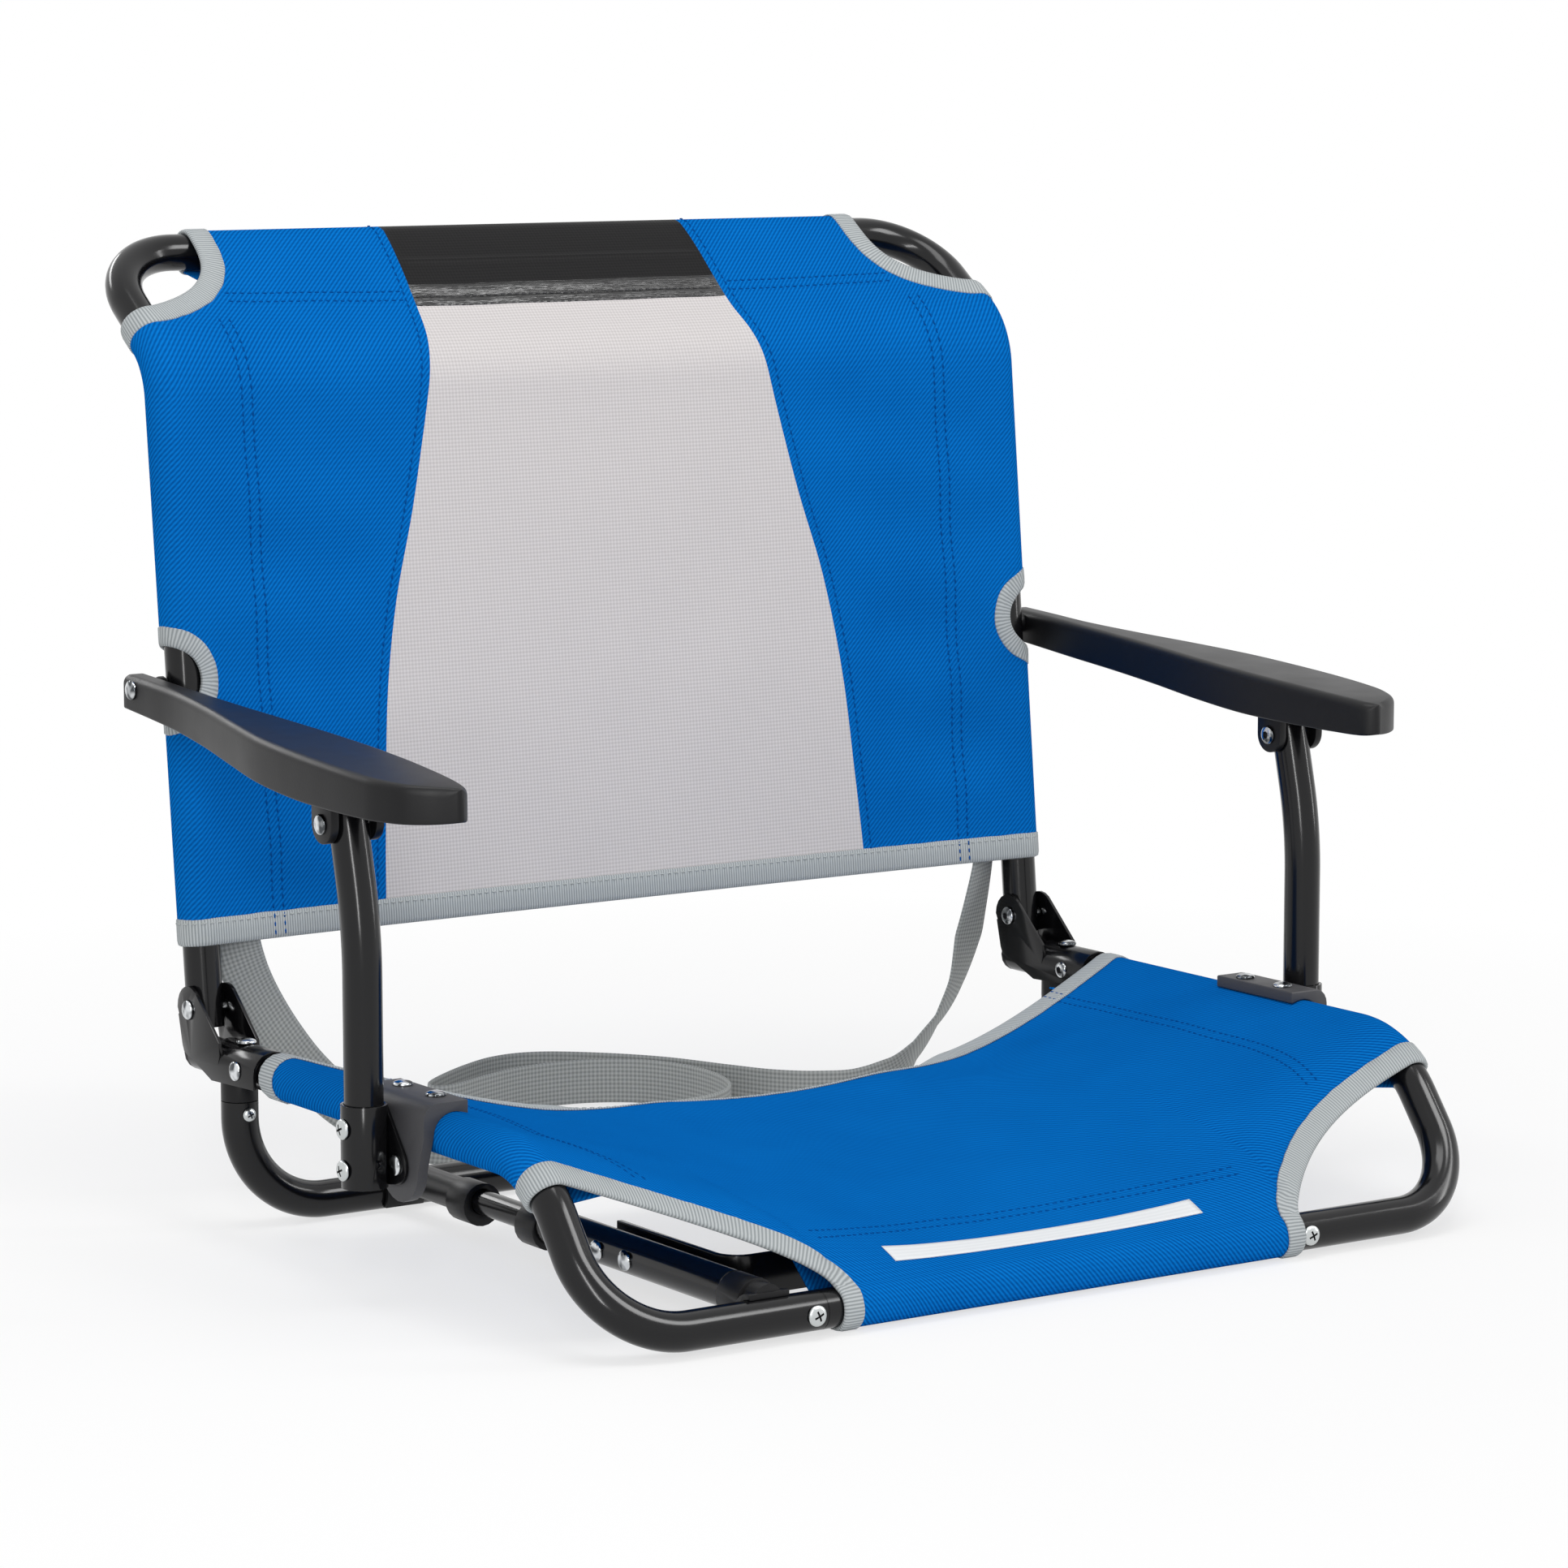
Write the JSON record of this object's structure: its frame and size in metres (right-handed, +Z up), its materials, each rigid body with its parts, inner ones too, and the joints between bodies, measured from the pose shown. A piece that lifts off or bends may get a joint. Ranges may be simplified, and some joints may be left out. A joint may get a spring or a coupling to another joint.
{
  "type": "stadium chair",
  "caption": "Folding stadium chair for a bench: low bent-tube frame, sagging cloth seat and back, level armrests on swinging supports, bench hook and carry strap.",
  "frame": {"origin": "on the bench plane, midway between the two sides and midway between the front screws and the back of the top bar", "axes": "+Z up, the chair faces -Y, +X to the right as seen from in front"},
  "size_m": [0.618, 0.562, 0.4969],
  "materials": {
    "black_coat": "gloss powder coat",
    "moulded_black": "satin moulded",
    "clamp_grey": "dull moulded",
    "zinc": "bright zinc plate",
    "blue_cloth": "coated polyester twill",
    "grey_web": "woven webbing"
  },
  "bodies": {
    "seat": {"left_seat_tube": "black_coat", "right_seat_tube": "black_coat", "front_bar": "black_coat", "rear_leg": "black_coat", "seat_cover": "blue_cloth", "hook_rod": "black_coat", "hook_rear_socket": "moulded_black", "hook_front_socket": "moulded_black", "carry_strap": "grey_web", "left_hinge_bracket": "black_coat", "left_rail_plug": "moulded_black", "left_leg_saddle": "moulded_black", "left_leg_screw": "zinc", "left_front_screw": "zinc", "left_bracket_side_rivet": "zinc", "left_bracket_top_rivet": "zinc", "left_hinge_pin": "zinc", "left_arm_clamp": "clamp_grey", "left_clamp_front_rivet": "zinc", "left_clamp_rear_rivet": "zinc", "left_support_pin": "zinc", "right_hinge_bracket": "black_coat", "right_rail_plug": "moulded_black", "right_leg_saddle": "moulded_black", "right_leg_screw": "zinc", "right_front_screw": "zinc", "right_bracket_side_rivet": "zinc", "right_bracket_top_rivet": "zinc", "right_hinge_pin": "zinc", "right_arm_clamp": "clamp_grey", "right_clamp_front_rivet": "zinc", "right_clamp_rear_rivet": "zinc", "right_support_pin": "zinc"},
    "back": {"back_tube": "black_coat", "back_cover": "blue_cloth", "left_arm_rear_pin": "zinc", "left_arm_spacer": "moulded_black", "right_arm_rear_pin": "zinc", "right_arm_spacer": "moulded_black"},
    "left_arm": {"left_armrest": "moulded_black", "left_arm_front_pin": "zinc"},
    "left_support": {"left_support_tube": "black_coat", "left_support_bracket": "black_coat", "left_bracket_lower_screw": "zinc", "left_bracket_upper_screw": "zinc"},
    "right_arm": {"right_armrest": "moulded_black", "right_arm_front_pin": "zinc"},
    "right_support": {"right_support_tube": "black_coat", "right_support_bracket": "black_coat", "right_bracket_lower_screw": "zinc", "right_bracket_upper_screw": "zinc"},
    "hook_slider": {"hook_bush": "moulded_black"},
    "hook": {"hook_sleeve": "black_coat", "hook_plate": "black_coat", "hook_front_rivet": "zinc", "hook_rear_rivet": "zinc"}
  },
  "joints": [
    {"name": "back_fold", "type": "hinge", "parent": "seat", "child": "back", "pos_m": [0, 0.13461, 0.1085], "axis": [1, 0, 0], "range_deg": [0, 92]},
    {"name": "left_arm_pivot", "type": "hinge", "parent": "back", "child": "left_arm", "pos_m": [-0.272, 0.1591, 0.2705], "axis": [1, 0, 0], "range_deg": [-92, 0]},
    {"name": "left_support_swing", "type": "hinge", "parent": "seat", "child": "left_support", "pos_m": [-0.275, -0.08589, 0.0685], "axis": [1, 0, 0], "range_deg": [0, 92]},
    {"name": "right_arm_pivot", "type": "hinge", "parent": "back", "child": "right_arm", "pos_m": [0.272, 0.1591, 0.2705], "axis": [1, 0, 0], "range_deg": [-92, 0]},
    {"name": "right_support_swing", "type": "hinge", "parent": "seat", "child": "right_support", "pos_m": [0.275, -0.08589, 0.0685], "axis": [1, 0, 0], "range_deg": [0, 92]},
    {"name": "hook_slide", "type": "slide", "parent": "seat", "child": "hook_slider", "axis": [0, 1, 0], "range_m": [0, 0.045]},
    {"name": "hook_turn", "type": "hinge", "parent": "hook_slider", "child": "hook", "pos_m": [-0.169, 0, 0.0185], "axis": [0, 1, 0], "range_deg": [0, 90]}
  ],
  "couplings": [
    {"joint": "left_arm_pivot", "follows": "back_fold", "ratio": -1},
    {"joint": "left_support_swing", "follows": "back_fold", "ratio": 1},
    {"joint": "right_arm_pivot", "follows": "back_fold", "ratio": -1},
    {"joint": "right_support_swing", "follows": "back_fold", "ratio": 1}
  ]
}
